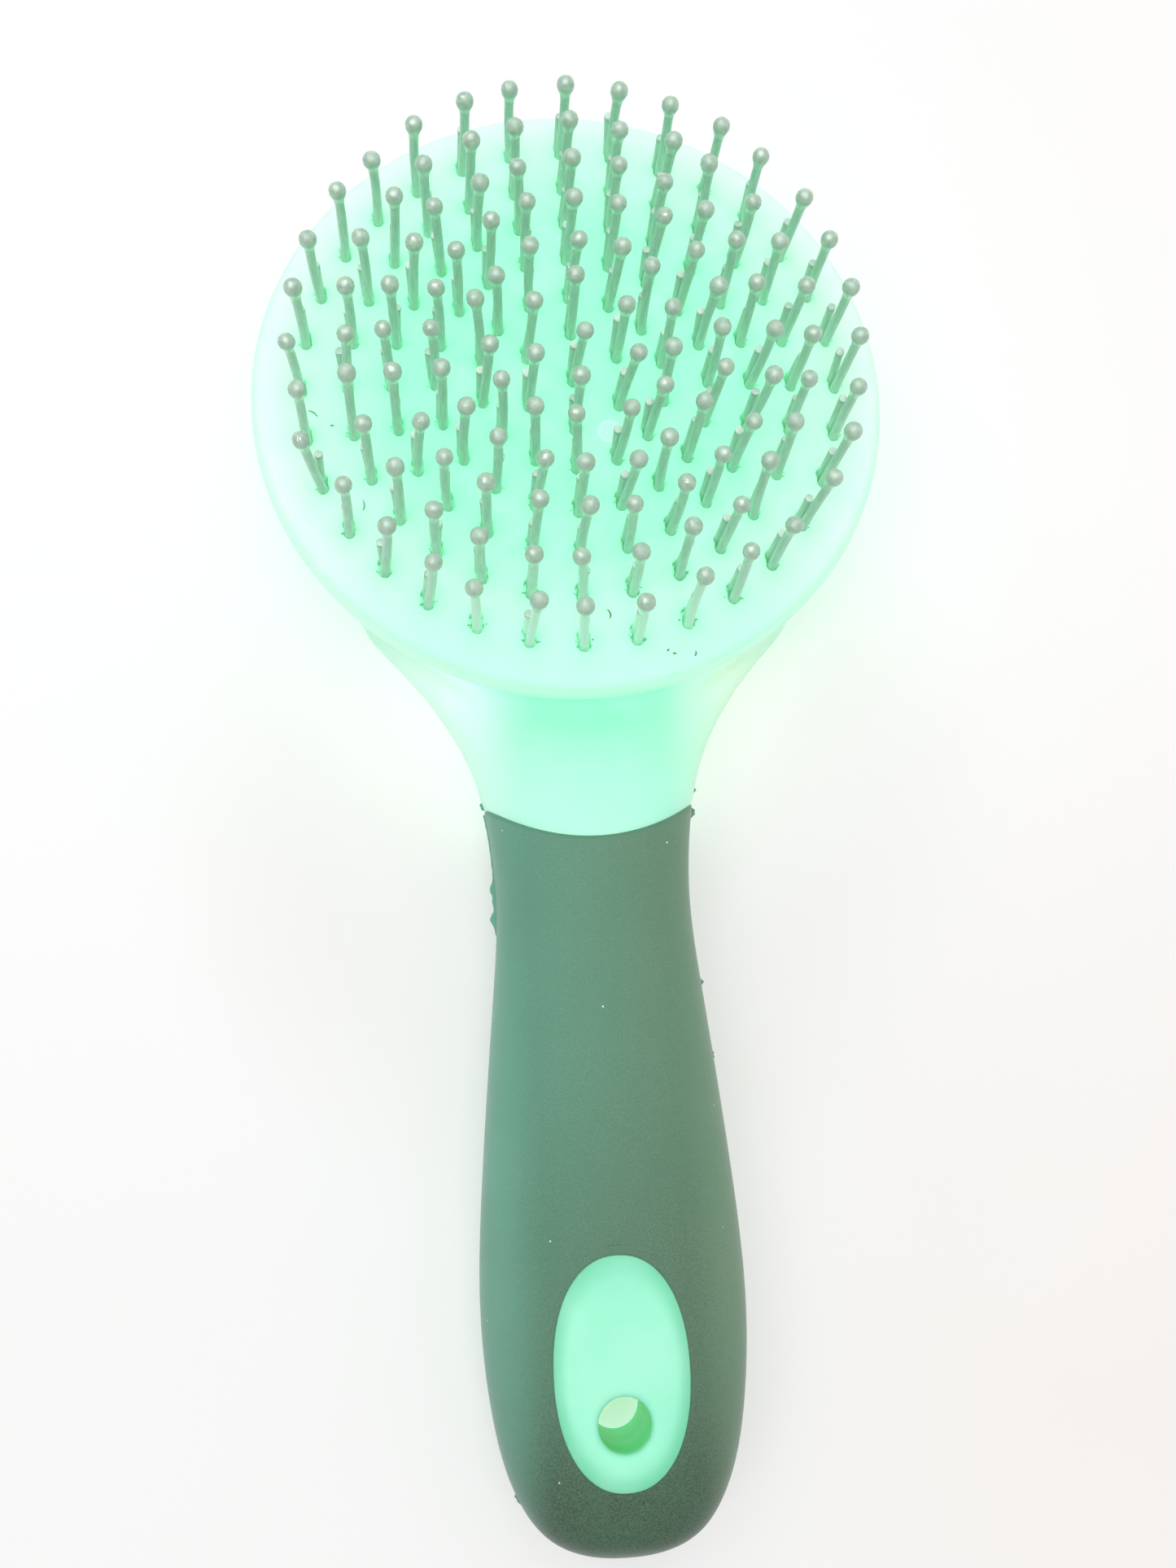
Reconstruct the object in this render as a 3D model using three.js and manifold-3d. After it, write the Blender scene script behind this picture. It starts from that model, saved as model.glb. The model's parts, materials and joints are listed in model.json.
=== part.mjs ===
// Round mane-and-tail brush: a moulded plastic body, a rubber grip sleeve, a domed
// rubber cushion and rings of hairpin bristles that sink a little with the cushion.
// Millimetres. +Z is up, with the bristles pointing up. +Y runs from the handle's end to
// the head. The origin is the middle of the brush, on the surface that it lies on.
import * as THREE from 'three';
import { mergeVertices } from 'three/addons/utils/BufferGeometryUtils.js';
import Module from 'manifold-3d';

const wasm = await Module();
wasm.setup();

// ---- driving dimensions -------------------------------------------------------------
const LENGTH = 220;
const HEAD_RADIUS = 50;
const HEAD_Y = LENGTH / 2 - HEAD_RADIUS;
const RIM_Z = 16;
const CROWN = 3.8;
const GAP = 0.3;

const SHELL = { shoulderZ: 12.3, lipZ: 13.6, lipOuter: 47.5, lipInner: 45.4, floorZ: 2.6, sides: 32 };
const PAD = { thickness: 2.1, skirtInner: SHELL.lipOuter + GAP, rounding: 2.4, sides: 28 };
const GRIP = { wall: 1.5, edge: 72, edgeRadius: 24.6, sides: 16, power: 2.4 };
const WINDOW = { distance: 145.5, halfWidth: 9.3, halfLength: 15.1, sides: 20 };
const HANG_HOLE = { distance: 152.1, radius: 3.55, sides: 12 };

// The outside of neck and grip, as sections at a distance from the head's centre.
const SECTIONS = [
  { distance: 26, halfWidth: 26.0, halfHeight: 3.6, middle: 8.4 },
  { distance: 36, halfWidth: 32.0, halfHeight: 4.3, middle: 7.6 },
  { distance: 42, halfWidth: 27.5, halfHeight: 5.1, middle: 7.2 },
  { distance: 48, halfWidth: 23.0, halfHeight: 5.9, middle: 7.2 },
  { distance: 54, halfWidth: 19.8, halfHeight: 6.7, middle: 8.0 },
  { distance: 60, halfWidth: 17.5, halfHeight: 7.6, middle: 8.8 },
  { distance: 66, halfWidth: 15.9, halfHeight: 8.4, middle: 9.4 },
  { distance: 74, halfWidth: 14.8, halfHeight: 8.9, middle: 9.6 },
  { distance: 82, halfWidth: 14.5, halfHeight: 9.2, middle: 9.7 },
  { distance: 92, halfWidth: 15.2, halfHeight: 9.4, middle: 9.9 },
  { distance: 104, halfWidth: 16.4, halfHeight: 9.6, middle: 10.1 },
  { distance: 118, halfWidth: 17.7, halfHeight: 9.8, middle: 10.2 },
  { distance: 136, halfWidth: 18.7, halfHeight: 9.8, middle: 10.2 },
  { distance: 150, halfWidth: 17.7, halfHeight: 9.7, middle: 10.2 },
  { distance: 158, halfWidth: 16.0, halfHeight: 9.5, middle: 10.0 },
  { distance: 164, halfWidth: 13.3, halfHeight: 8.6, middle: 10.0 },
  { distance: 168, halfWidth: 9.2, halfHeight: 7.0, middle: 10.0 },
  { distance: LENGTH - HEAD_RADIUS, halfWidth: 4.0, halfHeight: 4.0, middle: 10.0 },
];
const CORE_START = 60;

// Each bristle is one bent nylon wire: a long leg with a melted ball at its tip and a
// short leg cut flat, one behind the other along Y, with the bend under the cushion. The
// bends of neighbours are joined into one foot, because a brush has over a hundred wires.
const LEG = { radius: 0.72, ballHeight: 17.2, ballRadius: 1.33, neck: 3.6, crown: 0.75, sides: 5 };
const STUB = { radius: 0.66, height: 8.0, lean: THREE.MathUtils.degToRad(1), sides: 4 };
const FOOT = { legSpacing: 1.56, depth: 1.2, below: 0.45, halfWidth: 1.8 };
const HOLE = { width: 2.2, length: 3.8 };
const RINGS = [
  { name: 'centre', radius: 0, count: 1, perNode: 1 },
  { name: 'ring1', radius: 8.1, count: 6, perNode: 3 },
  { name: 'ring2', radius: 14.4, count: 14, perNode: 2 },
  { name: 'ring3', radius: 21.3, count: 20, perNode: 4 },
  { name: 'ring4', radius: 28.0, count: 24, perNode: 4 },
  { name: 'ring5', radius: 34.7, count: 28, perNode: 4 },
  { name: 'ring6', radius: 41.9, count: 32, perNode: 4 },
];

const MINT = new THREE.MeshStandardMaterial({ color: 0xa5f5d6, roughness: 0.25, metalness: 0 });
const CUSHION_MINT = new THREE.MeshStandardMaterial({ color: 0xa0f7d8, roughness: 0.45, metalness: 0 });
const DARK_GREEN = new THREE.MeshStandardMaterial({ color: 0x4f8a69, roughness: 0.75, metalness: 0 });
const NYLON = new THREE.MeshStandardMaterial({ color: 0x9ac4aa, roughness: 0.35, metalness: 0 });

// ---- solids and meshes --------------------------------------------------------------
function solid(geometry) {
  const bare = geometry.clone();
  bare.deleteAttribute('normal');
  bare.deleteAttribute('uv');
  const merged = mergeVertices(bare, 1e-4);
  return new wasm.Manifold(new wasm.Mesh({
    numProp: 3,
    vertProperties: new Float32Array(merged.attributes.position.array),
    triVerts: new Uint32Array(merged.index.array),
  }));
}

function node(name, shape, material) {
  const { vertProperties, triVerts, numProp } = shape.getMesh();
  const positions = new Float32Array((vertProperties.length / numProp) * 3);
  for (let i = 0; i < positions.length; i += 3) {
    positions.set(vertProperties.subarray((i / 3) * numProp, (i / 3) * numProp + 3), i);
  }
  const geometry = new THREE.BufferGeometry();
  geometry.setAttribute('position', new THREE.BufferAttribute(positions, 3));
  geometry.setIndex(new THREE.BufferAttribute(new Uint32Array(triVerts), 1));
  geometry.computeVertexNormals();
  const mesh = new THREE.Mesh(geometry, material.clone());
  mesh.name = name;
  return mesh;
}

// A lathe turned about +Z from [radius, height] pairs that start and end on the axis.
function turned(profile, sides) {
  const points = profile.map(([radius, height]) => new THREE.Vector2(radius, height));
  return new THREE.LatheGeometry(points, sides).rotateX(Math.PI / 2);
}

// An upright prism with an elliptical outline.
function uprightOval(halfWidth, halfLength, low, high, sides) {
  const prism = new THREE.CylinderGeometry(1, 1, high - low, sides).rotateX(Math.PI / 2);
  return prism.scale(halfWidth, halfLength, 1).translate(0, 0, (low + high) / 2);
}

// ---- body and grip, measured from the head's centre ---------------------------------
// Superellipse sections joined along the handle and shrunk all round by an inset.
function handleLoft(inset, start = 0) {
  const sections = SECTIONS.filter(({ distance }) => distance >= start);
  const geometry = new THREE.CylinderGeometry(1, 1, 1, GRIP.sides, sections.length - 1);
  const last = sections.length - 1;
  const squarer = (value) => Math.sign(value) * Math.abs(value) ** (2 / GRIP.power);
  const position = geometry.attributes.position;
  for (let i = 0; i < position.count; i += 1) {
    const index = Math.round((0.5 - position.getY(i)) * last);
    const { distance, halfWidth, halfHeight, middle } = sections[index];
    const end = index === last ? inset : 0;
    position.setXYZ(
      i,
      squarer(position.getX(i)) * Math.max(halfWidth - inset, 1),
      end - distance,
      middle + squarer(position.getZ(i)) * Math.max(halfHeight - inset, 1),
    );
  }
  return solid(geometry);
}

// The stretch of the handle that the plastic neck keeps, up to the grip's curved edge.
function neckZone(clearance) {
  const round = new THREE.CylinderGeometry(1, 1, 60, 36).rotateX(Math.PI / 2);
  const radius = GRIP.edgeRadius - clearance;
  round.scale(radius, radius, 1).translate(0, GRIP.edgeRadius - GRIP.edge, 0);
  const straight = new THREE.BoxGeometry(120, 60, 60).translate(0, -CORE_START / 2 - clearance, 0);
  return solid(round).add(solid(straight));
}

function windowPrism(clearance) {
  const { halfWidth, halfLength, distance, sides } = WINDOW;
  const oval = uprightOval(halfWidth - clearance, halfLength - clearance, -5, 30, sides);
  return solid(oval.translate(0, -distance, 0));
}

function headShell() {
  const { shoulderZ, lipZ, lipOuter } = SHELL;
  const profile = [
    [0, 0], [24, 0], [36, 1.6], [44, 5], [48, 9.2], [49.4, shoulderZ],
    [lipOuter, shoulderZ], [lipOuter, lipZ], [0, lipZ],
  ];
  return solid(turned(profile, SHELL.sides));
}

function airChamber() {
  const { lipZ, lipInner, floorZ } = SHELL;
  const profile = [
    [0, floorZ], [24, floorZ], [35, 4.2], [42.5, 7.4], [lipInner, 11], [lipInner, lipZ + 1], [0, lipZ + 1],
  ];
  return solid(turned(profile, SHELL.sides));
}

function handleBody() {
  const neck = handleLoft(0).intersect(neckZone(GAP));
  const underPad = solid(uprightOval(HEAD_RADIUS + GAP, HEAD_RADIUS + GAP, SHELL.shoulderZ, 40, 48));
  const core = handleLoft(GRIP.wall + GAP, CORE_START);
  const boss = handleLoft(GAP, CORE_START).intersect(windowPrism(GAP));
  const { radius, sides, distance } = HANG_HOLE;
  const hole = solid(uprightOval(radius, radius, -5, 30, sides).translate(0, -distance, 0));
  return neck.subtract(underPad).add(headShell()).subtract(airChamber()).add(core).add(boss).subtract(hole);
}

function gripSleeve() {
  return handleLoft(0, CORE_START)
    .subtract(neckZone(0))
    .subtract(handleLoft(GRIP.wall, CORE_START))
    .subtract(windowPrism(0));
}

// ---- cushion ------------------------------------------------------------------------
const domeHeight = (radius) => RIM_Z + CROWN * (1 - (radius / HEAD_RADIUS) ** 2);

// The dome's facets change slope between the rings, so that no hole crosses an edge.
const betweenRings = [1, 3, 5].map((inner) => (RINGS[inner].radius + RINGS[inner + 1].radius) / 2);

function cushionPad() {
  const { thickness, skirtInner, rounding, sides } = PAD;
  const edge = HEAD_RADIUS - rounding;
  const skirtZ = SHELL.shoulderZ + GAP;
  const underZ = (radius) => Math.max(domeHeight(radius) - thickness, SHELL.lipZ + GAP);
  const under = [0, ...betweenRings, skirtInner].map((radius) => [radius, underZ(radius)]);
  const skirt = [[skirtInner, skirtZ], [HEAD_RADIUS - 0.4, skirtZ]];
  const round = [0, 30, 60].map((angle) => {
    const turn = THREE.MathUtils.degToRad(angle);
    return [edge + rounding * Math.cos(turn), domeHeight(edge) - rounding * (1 - Math.sin(turn))];
  });
  const top = [edge, ...betweenRings.toReversed(), 0].map((radius) => [radius, domeHeight(radius)]);
  const pad = solid(turned([...under, ...skirt, ...round, ...top], sides));
  const holes = RINGS.flatMap(bristlePlaces).map(({ x, y }) => {
    const hole = new THREE.BoxGeometry(HOLE.width, HOLE.length, 4 * CROWN);
    return solid(hole.translate(x, y, RIM_Z));
  });
  return pad.subtract(wasm.Manifold.union(holes));
}

// ---- bristles -----------------------------------------------------------------------
// Every ring has a bristle on the brush's own axis, towards the head's far edge.
function bristlePlaces({ radius, count }) {
  return Array.from({ length: count }, (_, index) => {
    const angle = Math.PI / 2 - (index / count) * 2 * Math.PI;
    return { angle, x: radius * Math.cos(angle), y: radius * Math.sin(angle) };
  });
}

function footTop(radius) {
  return domeHeight(radius + FOOT.halfWidth) - PAD.thickness - FOOT.below;
}

function bristle(radius, { x, y }) {
  const root = footTop(radius) - FOOT.depth / 2;
  const ballZ = domeHeight(radius) + LEG.ballHeight;
  const topZ = ballZ + LEG.ballRadius;
  const profile = [
    [0, root], [LEG.radius, root], [LEG.radius, ballZ - LEG.neck],
    [LEG.ballRadius, ballZ], [LEG.crown, topZ], [0, topZ],
  ];
  const leg = turned(profile, LEG.sides).translate(x, y - FOOT.legSpacing / 2, 0);
  const length = domeHeight(radius) + STUB.height - root;
  const stub = new THREE.CylinderGeometry(STUB.radius, STUB.radius, length, STUB.sides);
  stub.rotateX(Math.PI / 2).translate(0, 0, length / 2).rotateX(-STUB.lean);
  stub.translate(x, y + FOOT.legSpacing / 2, root);
  return solid(leg).add(solid(stub));
}

// The foot under the cushion that holds neighbouring bristles of one ring.
function foot(radius, members) {
  const outline = new THREE.Shape();
  const { halfWidth, depth } = FOOT;
  if (radius > halfWidth) {
    const past = halfWidth / radius;
    const from = members[0].angle + past;
    const to = members.at(-1).angle - past;
    outline.absarc(0, 0, radius + halfWidth, from, to, true);
    outline.absarc(0, 0, radius - halfWidth, to, from, false);
  } else {
    outline.absarc(0, 0, halfWidth, 0, 2 * Math.PI, false);
  }
  const options = { depth, bevelEnabled: false, curveSegments: members.length + 1 };
  const strip = new THREE.ExtrudeGeometry(outline, options);
  return solid(strip.translate(0, 0, footTop(radius) - depth));
}

function bristleNodes(ring) {
  const places = bristlePlaces(ring);
  const nodes = [];
  for (let first = 0; first < places.length; first += ring.perNode) {
    const members = places.slice(first, first + ring.perNode);
    const shapes = members.map((place) => bristle(ring.radius, place));
    const number = String(first / ring.perNode + 1).padStart(2, '0');
    const joined = foot(ring.radius, members).add(wasm.Manifold.union(shapes));
    nodes.push(node(`bristles_${ring.name}_${number}`, joined, NYLON));
  }
  return nodes;
}

// ---- the brush ----------------------------------------------------------------------
const brush = new THREE.Group();
brush.position.y = HEAD_Y;

const bristles = new THREE.Group();
bristles.add(...RINGS.flatMap(bristleNodes));

brush.add(node('handle_body', handleBody(), MINT));
brush.add(node('grip_sleeve', gripSleeve(), DARK_GREEN));
brush.add(node('cushion_pad', cushionPad(), CUSHION_MINT));
brush.add(bristles);

const model = new THREE.Group();
model.add(brush);

export default model;
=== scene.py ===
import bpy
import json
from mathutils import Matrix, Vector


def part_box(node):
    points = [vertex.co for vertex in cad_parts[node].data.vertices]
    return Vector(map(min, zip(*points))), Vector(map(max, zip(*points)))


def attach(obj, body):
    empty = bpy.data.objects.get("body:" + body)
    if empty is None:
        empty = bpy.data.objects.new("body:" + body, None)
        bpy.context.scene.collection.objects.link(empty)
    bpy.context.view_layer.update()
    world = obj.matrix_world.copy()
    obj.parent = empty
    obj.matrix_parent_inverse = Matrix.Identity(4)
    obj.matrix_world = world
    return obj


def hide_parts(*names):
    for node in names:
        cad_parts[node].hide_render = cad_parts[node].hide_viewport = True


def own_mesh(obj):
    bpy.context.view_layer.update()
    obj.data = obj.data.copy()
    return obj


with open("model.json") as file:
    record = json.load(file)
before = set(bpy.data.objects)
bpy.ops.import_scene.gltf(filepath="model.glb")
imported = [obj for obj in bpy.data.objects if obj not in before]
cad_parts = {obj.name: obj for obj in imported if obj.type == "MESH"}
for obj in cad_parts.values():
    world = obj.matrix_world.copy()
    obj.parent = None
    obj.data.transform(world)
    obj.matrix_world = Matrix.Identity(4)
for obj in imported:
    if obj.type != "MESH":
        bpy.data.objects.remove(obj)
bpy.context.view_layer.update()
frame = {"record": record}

import itertools
import json
import math
import random

import bpy
import numpy as np
from mathutils import Euler, Vector
from mathutils.geometry import delaunay_2d_cdt

# ---- the brush's dimensions, in millimetres in the row frame ----
MM = 0.001
PAD_LOW, PAD_HIGH = (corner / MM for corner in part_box("cushion_pad"))
HEAD_Y = (PAD_LOW.y + PAD_HIGH.y) / 2
HEAD_RADIUS = (PAD_HIGH.x - PAD_LOW.x) / 2
SKIRT_Z = PAD_LOW.z
RIM_Z = 16.0
CROWN = PAD_HIGH.z - RIM_Z
HANDLE_END = HEAD_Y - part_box("grip_sleeve")[0].y / MM
PAD_THICKNESS = 2.1
LIP_ROUNDING = 2.4
PAD_CLEARANCE = 0.3

# The outside of neck and grip: (distance from the head's centre, half width, half height,
# middle height). The shoulder beside the head is a little fuller than in the CAD.
SECTIONS = [
    (26, 26.0, 3.6, 8.4), (36, 33.0, 4.3, 7.6), (42, 28.9, 5.1, 7.2), (48, 24.0, 5.9, 7.2),
    (54, 20.2, 6.7, 8.0), (60, 17.5, 7.6, 8.8), (66, 15.9, 8.4, 9.4), (74, 14.8, 8.9, 9.6),
    (82, 14.5, 9.2, 9.7), (92, 15.2, 9.4, 9.9), (104, 16.4, 9.6, 10.1), (118, 17.7, 9.8, 10.2),
    (136, 18.7, 9.8, 10.2), (150, 17.7, 9.7, 10.2), (158, 16.0, 9.5, 10.0),
    (164, 13.3, 8.6, 10.0), (168, 9.2, 7.0, 10.0), (HANDLE_END, 0.0, 0.0, 10.0),
]
SQUARENESS = 2.4
NECK_START = 30.0
GRIP_EDGE, GRIP_EDGE_RADIUS = 72.0, 24.6
WINDOW_DISTANCE, WINDOW_HALF_WIDTH, WINDOW_HALF_LENGTH, WINDOW_POWER = 145.5, 9.3, 15.1, 2.2
HOLE_DISTANCE, HOLE_RADIUS = 152.1, 3.55
HOLE_Y, WINDOW_Y = HEAD_Y - HOLE_DISTANCE, HEAD_Y - WINDOW_DISTANCE
EDGE_CENTRE = GRIP_EDGE - GRIP_EDGE_RADIUS

# The back shell in half section, as (radius, height)
BOWL_OUTSIDE = [(0, 0), (24, 0), (36, 1.6), (44, 5), (48, 9.2), (49.4, 12.3)]
BOWL_LIP = [(47.5, 12.3), (47.5, 13.6), (45.4, 13.6)]
BOWL_INSIDE = [(45.4, 11), (42.5, 7.4), (35, 4.2), (24, 2.6), (0, 2.6)]

# (name, radius, number of bristles)
RINGS = [
    ("centre", 0.0, 1), ("ring1", 8.1, 6), ("ring2", 14.4, 14), ("ring3", 21.3, 20),
    ("ring4", 28.0, 24), ("ring5", 34.7, 28), ("ring6", 41.9, 32),
]
LEG_RADIUS, STUB_RADIUS, LEG_SPACING = 0.72, 0.66, 1.56
BALL_HEIGHT, BALL_RADIUS = 17.2, 1.33
STUB_HEIGHT, STUB_LEAN, BEND_DEPTH = 8.0, math.radians(1), 2.5


# ---- meshes ----
def make_object(name, points, faces, materials, face_materials=None, sharp_angle=None):
    """A smooth-shaded mesh object from points in millimetres."""
    mesh = bpy.data.meshes.new(name)
    mesh.from_pydata((np.asarray(points) * MM).tolist(), [], [list(map(int, f)) for f in faces])
    mesh.validate()
    for material in materials:
        mesh.materials.append(material)
    if face_materials is not None:
        mesh.polygons.foreach_set("material_index", np.asarray(face_materials, np.int32))
    mesh.polygons.foreach_set("use_smooth", np.ones(len(mesh.polygons), bool))
    if sharp_angle is not None:
        mesh.set_sharp_from_angle(angle=math.radians(sharp_angle))
    mesh.update()
    piece = bpy.data.objects.new(name, mesh)
    bpy.context.scene.collection.objects.link(piece)
    return piece


def paint(piece, attribute, values):
    layer = piece.data.attributes.new(attribute, "FLOAT", "POINT")
    layer.data.foreach_set("value", np.asarray(values, np.float32))


def turns(count):
    """Angles of evenly spaced points round a circle."""
    return np.arange(count) / count * 2 * math.pi


def quads_between(first, second):
    """Quads between two closed rows of points, given by their indices."""
    pairs = [(k, (k + 1) % len(first)) for k in range(len(first))]
    return [[first[k], first[after], second[after], second[k]] for k, after in pairs]


def open_edges(faces):
    """The directed edges that have no face on their other side."""
    directed = {(f[i], f[(i + 1) % len(f)]) for f in faces for i in range(len(f))}
    return [(a, b) for a, b in directed if (b, a) not in directed]


def smooth_curve(xs, ys):
    """The natural cubic spline through the given points, as a function of an array."""
    xs, ys = np.asarray(xs, float), np.asarray(ys, float)
    gap = np.diff(xs)
    system, right = np.eye(len(xs)), np.zeros(len(xs))
    for i in range(1, len(xs) - 1):
        system[i, i - 1:i + 2] = gap[i - 1], 2 * (gap[i - 1] + gap[i]), gap[i]
        right[i] = 6 * ((ys[i + 1] - ys[i]) / gap[i] - (ys[i] - ys[i - 1]) / gap[i - 1])
    bend = np.linalg.solve(system, right)

    def at(x):
        x = np.clip(x, xs[0], xs[-1])
        i = np.clip(np.searchsorted(xs, x) - 1, 0, len(xs) - 2)
        before, after, h = x - xs[i], xs[i + 1] - x, gap[i]
        return (
            (bend[i] * after**3 + bend[i + 1] * before**3) / (6 * h)
            + (ys[i] / h - bend[i] * h / 6) * after
            + (ys[i + 1] / h - bend[i + 1] * h / 6) * before
        )

    return at


def ease(low, high, value):
    t = np.clip((value - low) / (high - low), 0, 1)
    return t * t * (3 - 2 * t)


def soft_max(a, b, width):
    h = np.clip(0.5 + 0.5 * (a - b) / width, 0, 1)
    return b + (a - b) * h + width * h * (1 - h)


def soft_min(a, b, width):
    return -soft_max(-a, -b, width)


# ---- the handle's outside ----
# The sections are joined over the root of the distance from the handle's end, which
# makes the end a rounded nose.
root_distances = [math.sqrt(max(0.0, HANDLE_END - s[0])) for s in SECTIONS][::-1]
half_width, half_height, middle_z = (
    smooth_curve(root_distances, [s[column] for s in SECTIONS][::-1]) for column in (1, 2, 3)
)


def section(distance):
    """Half width, half height and middle height of the handle at a distance from the head."""
    along = np.sqrt(np.maximum(HANDLE_END - distance, 1e-6))
    return (
        np.maximum(half_width(along), 1e-3),
        np.maximum(half_height(along), 1e-3),
        middle_z(along),
    )


def loft_value(x, y, z):
    """Below 0 inside the handle's outside and above 0 outside it."""
    a, b, middle = section(HEAD_Y - y)
    p = SQUARENESS
    return ((np.abs(x) / a) ** p + (np.abs(z - middle) / b) ** p) ** (1 / p) - 1


def normals_of(points):
    """Outward normals of the handle's outside."""
    rises = [
        loft_value(*(points + step).T) - loft_value(*(points - step).T) for step in 0.02 * np.eye(3)
    ]
    gradient = np.stack(rises, axis=1)
    return gradient / np.maximum(np.linalg.norm(gradient, axis=1, keepdims=True), 1e-12)


def past_grip_edge(x, y):
    """Millimetres behind the grip's curved front edge, in plan."""
    from_arc = np.hypot(x, y - (HEAD_Y - EDGE_CENTRE)) - GRIP_EDGE_RADIUS
    return np.minimum(from_arc, HEAD_Y - y - EDGE_CENTRE)


def past_window(x, y):
    """Millimetres outside the oval window, in plan, negative inside it."""
    n, w, h = WINDOW_POWER, WINDOW_HALF_WIDTH, WINDOW_HALF_LENGTH
    u, v = np.abs(x), np.abs(y - WINDOW_Y)
    value = np.maximum(((u / w) ** n + (v / h) ** n) ** (1 / n), 1e-6)
    slope = np.hypot((u / w) ** (n - 1) / w, (v / h) ** (n - 1) / h) * value ** (1 - n)
    return (value - 1) / np.maximum(slope, 1e-6)


# ---- fine solids from a field of distances ----
SMOOTHING_ROUNDS = 3
GRID_STEP = 0.6
GRID_LOW = np.array([-51.07, -111.23, -1.46])
GRID_HIGH = np.array([51.0, 111.2, 22.0])
BOWL_TO_NECK, RAMP_EDGE, CHAMBER_EDGE, HOLE_EDGE = 4.0, 0.8, 0.5, 0.9


def sample(field, at):
    """The field between its grid points."""
    limit = np.array(field.shape) - 2
    low = np.clip(np.floor(at).astype(int), 0, limit)
    t = np.clip(at - low, 0, 1)
    total = 0
    for corner in itertools.product((0, 1), repeat=3):
        weight = np.prod([t[:, i] if c else 1 - t[:, i] for i, c in enumerate(corner)], axis=0)
        total = total + weight * field[tuple((low + corner).T)]
    return total


def surface_of(field, origin, step):
    """Points and quads of the surface where the field is 0, inside where it is negative."""
    inside = field < 0
    shape = [n - 1 for n in field.shape]
    count = sum(
        inside[tuple(slice(c, c + n) for c, n in zip(corner, shape))].astype(np.int8)
        for corner in itertools.product((0, 1), repeat=3)
    )
    active = (count > 0) & (count < 8)
    cells = np.argwhere(active)
    index = np.full(active.shape, -1)
    index[active] = np.arange(len(cells))
    total, hits = np.zeros((len(cells), 3)), np.zeros(len(cells))
    unit = np.eye(3, dtype=int)
    for axis in range(3):
        for u, v in itertools.product((0, 1), repeat=2):
            start = cells + u * unit[(axis + 1) % 3] + v * unit[(axis + 2) % 3]
            f0 = field[tuple(start.T)]
            f1 = field[tuple((start + unit[axis]).T)]
            cross = (f0 < 0) != (f1 < 0)
            t = f0[cross] / (f0[cross] - f1[cross])
            total[cross] += start[cross] + t[:, None] * unit[axis]
            hits[cross] += 1
    points = total / hits[:, None]
    quads = []
    for axis in range(3):
        a, b = unit[(axis + 1) % 3], unit[(axis + 2) % 3]
        lower, upper = np.moveaxis(inside, axis, 0)[:-1], np.moveaxis(inside, axis, 0)[1:]
        edge = np.argwhere(np.moveaxis(lower != upper, 0, axis))
        first = inside[tuple(edge.T)]
        quad = np.stack([index[tuple((edge - o).T)] for o in (a + b, b, 0 * a, a)], axis=1)
        quad[~first] = quad[~first][:, ::-1]
        quads.append(quad)
    quads = np.concatenate(quads)
    gradient = np.gradient(field)
    ends = np.concatenate([quads[:, [i, (i + 1) % 4]] for i in range(4)])
    degree = np.bincount(ends[:, 0], minlength=len(points)).astype(float)
    for _ in range(SMOOTHING_ROUNDS):
        near = np.stack(
            [np.bincount(ends[:, 0], points[ends[:, 1], i], len(points)) for i in range(3)], axis=1
        )
        points = 0.4 * points + 0.6 * near / degree[:, None]
        for _ in range(2):
            slope = np.stack([sample(g, points) for g in gradient], axis=1)
            value = sample(field, points)
            move = value[:, None] * slope / np.maximum((slope**2).sum(1, keepdims=True), 1e-9)
            points -= np.clip(move, -0.5, 0.5)
    return points * step + origin, quads


def polygon_distance(r, z, corners):
    """Signed distance to a closed outline, negative inside."""
    best, inside = np.full(r.shape, 1e9), np.zeros(r.shape, bool)
    for (r0, z0), (r1, z1) in zip(corners, corners[1:] + corners[:1]):
        dr, dz = r1 - r0, z1 - z0
        t = np.clip(((r - r0) * dr + (z - z0) * dz) / (dr * dr + dz * dz), 0, 1)
        best = np.minimum(best, np.hypot(r - r0 - t * dr, z - z0 - t * dz))
        if z0 != z1:
            inside ^= ((z0 > z) != (z1 > z)) & (r < r0 + (z - z0) * dr / (z1 - z0))
    return np.where(inside, -best, best)


def rounded_profile(corners, parts=8):
    """A smooth line through the profile's corners, by their distance along it."""
    corners = np.array(corners, float)
    length = np.concatenate([[0], np.cumsum(np.hypot(*np.diff(corners, axis=0).T))])
    at = np.linspace(0, length[-1], parts * len(corners))
    radius, height = (smooth_curve(length, corners[:, i])(at) for i in range(2))
    return list(zip(radius, np.maximum(height, corners[:, 1].min())))


def core_inset(x, y):
    """How far the plastic lies under the handle's outside: flush on the neck and in the
    window, deeper under the grip."""
    edge, window = past_grip_edge(x, y), past_window(x, y)
    front = 0.22 * ease(-0.9, 0, edge) + 1.6 * ease(0, 3.2, edge)
    boss = 0.06 + 0.42 * ease(-1.9, 0, window) + 1.34 * ease(0, 2.6, window)
    return np.minimum(front, boss)


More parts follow.
